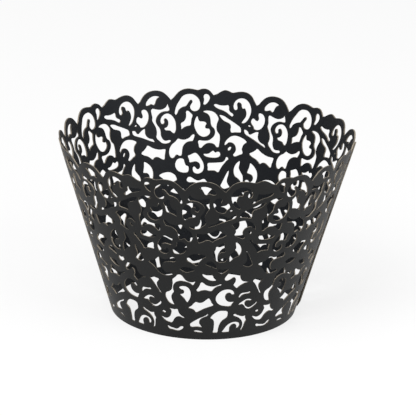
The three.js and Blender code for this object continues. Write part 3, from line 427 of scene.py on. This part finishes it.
def clip_loop(loop, line_x, keep_right):
    """The parts of a loop on the kept side of an upright line, joined along the line."""
    def inside(p):
        return p.x > line_x if keep_right else p.x < line_x

    if all(inside(p) for p in loop):
        return [loop]
    first_out = next(i for i, p in enumerate(loop) if not inside(p))
    turned = loop[first_out:] + loop[:first_out + 1]
    runs = []
    run = []
    for before, here in zip(turned, turned[1:]):
        if inside(before) != inside(here):
            crossing = before.lerp(here, (line_x - before.x) / (here.x - before.x))
            if inside(here):
                run = [crossing]
            else:
                runs.append([*run, crossing])
        if inside(here):
            run.append(here)
    return join_runs(runs)


def join_runs(runs):
    """Joins runs that start and end on one upright line into closed loops."""
    ends = sorted(
        [(run[0].y, i, False) for i, run in enumerate(runs)]
        + [(run[-1].y, i, True) for i, run in enumerate(runs)]
    )
    partner = {}
    for one, two in zip(ends[::2], ends[1::2]):
        partner[one[1:]] = two[1:]
        partner[two[1:]] = one[1:]
    loops = []
    used = set()
    for start in range(len(runs)):
        loop = []
        index = start
        while index not in used:
            used.add(index)
            loop.extend(runs[index])
            index = partner[(index, True)][0]
        if loop:
            loops.append(loop)
    return loops


def band_holes():
    """Every hole of the band, kept clear of its two ends."""
    first_x = PATTERN_START + units_for(FREE_END_MARGIN)
    last_x = BAND_END - units_for(TUCKED_END_BAND)
    holes = []
    for cell in range(REPEATS + 1):
        for points in [*HOLES.values(), *SMALL_HOLES.values()]:
            loop = smooth_path([(x + cell * CELL, y) for x, y in points], True)
            for part in clip_loop(loop, first_x, True):
                holes.extend(clip_loop(part, last_x, False))
    return [hole for hole in holes if len(hole) >= FEWEST_HOLE_POINTS]


def top_edge():
    """The scalloped edge from the free end to the tucked end."""
    edge = []
    for cell in range(REPEATS + 1):
        for wave in TOP_WAVES:
            path = smooth_path([(x + cell * CELL, y) for x, y in wave], False)
            edge.extend(path[:-1])
    first_x = PATTERN_START + END_CLEARANCE
    last_x = BAND_END - END_CLEARANCE
    inside = [p for p in edge if first_x < p.x < last_x]
    start = Vector((PATTERN_START, CELL_HEIGHT))
    end = Vector((BAND_END, CELL_HEIGHT))
    return [start, *inside, end]


def straight(start, end):
    """Evenly spaced points from one to just before the other."""
    start = Vector(start)
    end = Vector(end)
    count = max(1, round((end - start).length / RIM_STEP))
    return [start.lerp(end, i / count) for i in range(count)]


def band_outline():
    """The flat outline of the band, with the free end's lower corner clipped."""
    corner_x = PATTERN_START + units_for(FREE_CORNER_RUN)
    bottom = straight((corner_x, 0), (BAND_END, 0))
    tucked_end = straight((BAND_END, 0), (BAND_END, CELL_HEIGHT))
    free_end = straight((PATTERN_START, CELL_HEIGHT), (PATTERN_START, FREE_CORNER_RISE))[1:]
    corner = straight((PATTERN_START, FREE_CORNER_RISE), (corner_x, 0))
    return [*bottom, *tucked_end, *reversed(top_edge()), *free_end, *corner]


def inner_points(loops):
    """A staggered grid over the band, clear of every cut edge."""
    edge_points = [p for loop in loops for p in loop]
    tree = kdtree.KDTree(len(edge_points))
    for i, p in enumerate(edge_points):
        tree.insert((p.x, p.y, 0), i)
    tree.balance()
    points = []
    for row in range(1, int(CELL_HEIGHT / GRID) + 1):
        shift = GRID / 2 * (row % 2)
        for column in range(int((BAND_END - PATTERN_START) / GRID) + 1):
            p = Vector((PATTERN_START + shift + column * GRID, row * GRID))
            _, _, distance = tree.find((p.x, p.y, 0))
            if distance > GRID_CLEARANCE:
                points.append(p)
    return points


def anticlockwise(loop):
    """The same loop, turned round if it runs clockwise."""
    area = sum(a.x * b.y - b.x * a.y for a, b in zip(loop, loop[1:] + loop[:1]))
    return loop if area > 0 else loop[::-1]


def flat_card():
    """The band as flat triangles: its points, and its triangles between the cut edges."""
    loops = [anticlockwise(loop) for loop in [band_outline(), *band_holes()]]
    coords = [p for loop in loops for p in loop]
    faces = []
    first = 0
    for loop in loops:
        faces.append(list(range(first, first + len(loop))))
        first += len(loop)
    coords.extend(inner_points(loops))
    points, _, triangles, _, _, owners = geometry.delaunay_2d_cdt(
        coords, [], faces, INSIDE_LOOPS, MERGE_DISTANCE)
    # Each triangle comes with the loops that hold it: card lies in the outline, loop 0, and in no hole
    kept = [tri for tri, owner in zip(triangles, owners) if list(owner) == [0]]
    used = sorted({i for tri in kept for i in tri})
    place = {old: new for new, old in enumerate(used)}
    return [points[i] for i in used], [[place[i] for i in tri] for tri in kept]


def smoothstep(value, low, high):
    """Rises smoothly from 0 at the low value to 1 at the high one."""
    t = min(1.0, max(0.0, (value - low) / (high - low)))
    return t * t * (3 - 2 * t)


def stand_off(from_free_end, rise):
    """How far the card stands off the cone, over its own tucked end and sprung open at the base."""
    over = 1 - smoothstep(from_free_end, LAP, LAP + LAP_EASE)
    spring = max(0.0, 1 - from_free_end / SPRING_REACH) ** 2 * (1 - rise) ** 2
    return (CARD + LAP_GAP) * over + FREE_END_SPRING * spring


def waves(terms, angle):
    """The sum of some waves round the cone, at one angle."""
    return sum(size * math.sin(count * angle + math.radians(phase)) for size, count, phase in terms)


def roll_point(point, face_offset):
    """Rolls a flat point on to one face of the cone's wall, with the card's own unevenness."""
    from_free_end = (point.x - PATTERN_START) * DEGREES_PER_UNIT
    angle = math.radians(FREE_END_ANGLE + from_free_end)
    rise = point.y / CELL_HEIGHT
    radius = BOTTOM_RADIUS + (TOP_RADIUS - BOTTOM_RADIUS) * rise
    radius += stand_off(from_free_end, rise) + face_offset + waves(BULGE, angle) * rise
    at_rim = smoothstep(rise, RIM_FROM, 1)
    sag = waves(SAG, angle) * (1 - at_rim) + waves(RIM_SAG, angle) * at_rim
    height = (HEIGHT - sag) * rise
    turn = waves(BASE_TURN, angle) * (1 - rise) + waves(RIM_TURN, angle) * rise
    turned = angle + math.radians(turn)
    return Vector((radius * math.cos(turned), radius * math.sin(turned), height))


def keep_cuts_sharp(mesh, cuts, count):
    """Marks the edges round the cuts, on both faces of the card, so that they shade sharply."""
    rims = {(min(a, b), max(a, b)) for a, b in cuts}
    rims |= {(a + count, b + count) for a, b in rims}
    sharp = mesh.attributes.new("sharp_edge", "BOOLEAN", "EDGE")
    sharp.data.foreach_set("value", [tuple(sorted(edge.vertices)) in rims for edge in mesh.edges])


def make_card():
    """The card as one closed mesh, with the cut edges on a material of their own."""
    points, triangles = flat_card()
    count = len(points)
    verts = [roll_point(p, side * CARD / 2) for side in (1, -1) for p in points]
    verts = [(v + AXIS) * MM for v in verts]
    sides = {(tri[k], tri[(k + 1) % 3]) for tri in triangles for k in range(3)}
    cuts = sorted((a, b) for a, b in sides if (b, a) not in sides)
    faces = [tuple(tri) for tri in triangles]
    faces += [(count + c, count + b, count + a) for a, b, c in triangles]
    faces += [(b, a, count + a, count + b) for a, b in cuts]
    mesh = bpy.data.meshes.new("card")
    mesh.from_pydata(verts, [], faces)
    slots = [OUTSIDE] * len(triangles) + [INSIDE] * len(triangles) + [CUT_EDGE] * len(cuts)
    mesh.polygons.foreach_set("material_index", slots)
    mesh.polygons.foreach_set("use_smooth", [True] * len(faces))
    keep_cuts_sharp(mesh, cuts, count)
    mesh.update()
    piece = bpy.data.objects.new("card", mesh)
    bpy.context.scene.collection.objects.link(piece)
    return piece


def new_material(name):
    """A new material with its nodes and links."""
    material = bpy.data.materials.new(name)
    material.use_nodes = True
    return material, material.node_tree.nodes, material.node_tree.links


def add_noise(nodes, links, place, scale):
    """A noise texture that is fixed to the object."""
    noise = nodes.new("ShaderNodeTexNoise")
    noise.inputs["Scale"].default_value = scale
    links.new(place.outputs["Object"], noise.inputs["Vector"])
    return noise


def card_material(name, dark, light):
    """Coated black card, faintly mottled, with a fine fibre grain."""
    material, nodes, links = new_material(name)
    shader = nodes["Principled BSDF"]
    shader.inputs["Roughness"].default_value = CARD_ROUGHNESS
    shader.inputs["Specular IOR Level"].default_value = CARD_SPECULAR
    place = nodes.new("ShaderNodeTexCoord")
    fibre = add_noise(nodes, links, place, FIBRE_SCALE)
    fibre.inputs["Detail"].default_value = FIBRE_DETAIL
    mottle = add_noise(nodes, links, place, MOTTLE_SCALE)
    mottle.inputs["Detail"].default_value = MOTTLE_DETAIL
    tint = nodes.new("ShaderNodeMix")
    tint.data_type = "RGBA"
    tint.inputs[MIX_FIRST].default_value = (*dark, 1)
    tint.inputs[MIX_SECOND].default_value = (*light, 1)
    bump = nodes.new("ShaderNodeBump")
    bump.inputs["Strength"].default_value = FIBRE_STRENGTH
    bump.inputs["Distance"].default_value = FIBRE_DEPTH
    links.new(mottle.outputs["Fac"], tint.inputs[MIX_FACTOR])
    links.new(tint.outputs[MIX_RESULT], shader.inputs["Base Color"])
    links.new(fibre.outputs["Fac"], bump.inputs["Height"])
    links.new(bump.outputs["Normal"], shader.inputs["Normal"])
    return material


def edge_material():
    """The laser-cut edge: bare brown core, darker in patches where the cut has scorched it."""
    material, nodes, links = new_material("cut_edge")
    shader = nodes["Principled BSDF"]
    shader.inputs["Roughness"].default_value = EDGE_ROUGHNESS
    place = nodes.new("ShaderNodeTexCoord")
    scorch = add_noise(nodes, links, place, SCORCH_SCALE)
    tint = nodes.new("ShaderNodeValToRGB")
    scorched, bare = tint.color_ramp.elements
    scorched.position = SCORCH_FROM
    scorched.color = (*EDGE_SCORCHED, 1)
    bare.position = SCORCH_TO
    bare.color = (*EDGE_BARE, 1)
    links.new(scorch.outputs["Fac"], tint.inputs["Fac"])
    links.new(tint.outputs["Color"], shader.inputs["Base Color"])
    return material


def add_camera():
    """A camera at the photograph's viewpoint, aimed at the cone's axis."""
    elevation = math.radians(CAMERA_ELEVATION)
    aim = Vector((AXIS.x * MM, AXIS.y * MM, AIM_HEIGHT))
    data = bpy.data.cameras.new("camera")
    data.sensor_width = SENSOR_WIDTH
    data.lens = FOCAL_PIXELS / PICTURE * data.sensor_width
    data.shift_x = (PICTURE / 2 - AIM_PIXEL[0]) / PICTURE
    data.shift_y = (AIM_PIXEL[1] - PICTURE / 2) / PICTURE
    camera = bpy.data.objects.new("camera", data)
    towards_camera = Vector((0, -math.cos(elevation), math.sin(elevation)))
    camera.location = aim + CAMERA_DISTANCE * towards_camera
    tilt = Euler((math.pi / 2 - elevation, 0, 0)).to_matrix()
    roll = Matrix.Rotation(math.radians(CAMERA_ROLL), 3, "Z")
    camera.rotation_euler = (tilt @ roll).to_euler()
    bpy.context.scene.collection.objects.link(camera)
    bpy.context.scene.camera = camera


def add_lamp(name, place, width, power):
    """A soft square lamp aimed at the middle of the wrapper."""
    data = bpy.data.lights.new(name, "AREA")
    data.size = width
    data.energy = power
    lamp = bpy.data.objects.new(name, data)
    lamp.location = place
    towards_wrapper = Vector((0, 0, AIM_HEIGHT)) - Vector(place)
    lamp.rotation_euler = towards_wrapper.to_track_quat("-Z", "Y").to_euler()
    bpy.context.scene.collection.objects.link(lamp)


def white_to_camera(nodes, links, surface, output, share):
    """Mixes a share of pure white over a surface, for the camera, in reflections and through glass."""
    path = nodes.new("ShaderNodeLightPath")
    total = path.outputs["Is Camera Ray"]
    for ray in ("Is Glossy Ray", "Is Transmission Ray"):
        either = nodes.new("ShaderNodeMath")
        either.operation = "MAXIMUM"
        links.new(total, either.inputs[0])
        links.new(path.outputs[ray], either.inputs[1])
        total = either.outputs[0]
    part = nodes.new("ShaderNodeMath")
    part.operation = "MULTIPLY"
    part.inputs[1].default_value = share
    links.new(total, part.inputs[0])
    of_world = output.bl_idname == "ShaderNodeOutputWorld"
    white = nodes.new("ShaderNodeBackground" if of_world else "ShaderNodeEmission")
    white.inputs["Color"].default_value = WHITE
    white.inputs["Strength"].default_value = 1
    mix = nodes.new("ShaderNodeMixShader")
    links.new(part.outputs[0], mix.inputs[0])
    links.new(surface, mix.inputs[1])
    links.new(white.outputs[0], mix.inputs[2])
    links.new(mix.outputs[0], output.inputs["Surface"])


def add_world():
    """Even white light from all round, on a white background."""
    world = bpy.data.worlds.new("studio")
    world.use_nodes = True
    bpy.context.scene.world = world
    nodes = world.node_tree.nodes
    links = world.node_tree.links
    light = nodes["Background"]
    light.inputs["Color"].default_value = WHITE
    light.inputs["Strength"].default_value = WORLD_STRENGTH
    white_to_camera(nodes, links, light.outputs[0], nodes["World Output"], 1)


def add_floor():
    """A white floor that shows the camera only a faint shadow."""
    material, nodes, links = new_material("floor")
    shader = nodes["Principled BSDF"]
    shader.inputs["Base Color"].default_value = (*FLOOR_COLOUR, 1)
    shader.inputs["Roughness"].default_value = FLOOR_ROUGHNESS
    shader.inputs["Specular IOR Level"].default_value = FLOOR_SPECULAR
    white_to_camera(nodes, links, shader.outputs[0], nodes["Material Output"], FLOOR_WHITE)
    half = FLOOR_HALF_WIDTH
    corners = [(-half, -half, 0), (half, -half, 0), (half, half, 0), (-half, half, 0)]
    mesh = bpy.data.meshes.new("floor")
    mesh.from_pydata(corners, [], [(0, 1, 2, 3)])
    floor = bpy.data.objects.new("floor", mesh)
    floor.data.materials.append(material)
    bpy.context.scene.collection.objects.link(floor)


card = make_card()
card.data.materials.append(card_material("card_outside", OUTSIDE_DARK, OUTSIDE_LIGHT))
# The inside face takes the darker colours: painted shade inside the cone, over the card's own black
card.data.materials.append(card_material("card_inside_painted_shade", INSIDE_DARK_WITH_SHADE, INSIDE_LIGHT_WITH_SHADE))
card.data.materials.append(edge_material())
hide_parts("wrapper_card")
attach(card, "root")

add_camera()
add_world()
add_floor()
for lamp in LAMPS:
    add_lamp(*lamp)
bpy.context.scene.view_settings.view_transform = "Standard"
